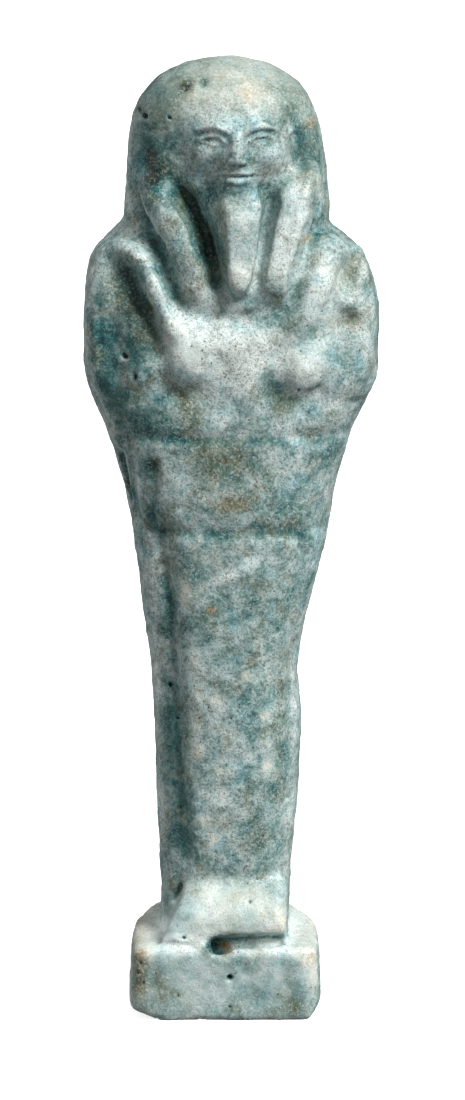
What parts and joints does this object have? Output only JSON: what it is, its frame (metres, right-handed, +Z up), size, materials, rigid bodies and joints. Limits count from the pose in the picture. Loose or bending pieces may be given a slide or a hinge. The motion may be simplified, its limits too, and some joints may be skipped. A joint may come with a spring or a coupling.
{
  "type": "ushabti figurine",
  "caption": "Small mummy-shaped funerary figure of pale blue-green faience, arms crossed under the wrapping, with a false beard, a long wig, a back pillar and a low plinth made in one.",
  "frame": {"origin": "centre of the plinth's underside", "axes": "+Z up along the figure's height, the face looks towards -Y, +X is on the viewer's right"},
  "size_m": [0.0335, 0.0209, 0.1098],
  "materials": {
    "faience": "worn satin glaze over a gritty quartz body"
  },
  "bodies": {
    "root": {"ushabti_figurine": "faience"}
  },
  "joints": []
}
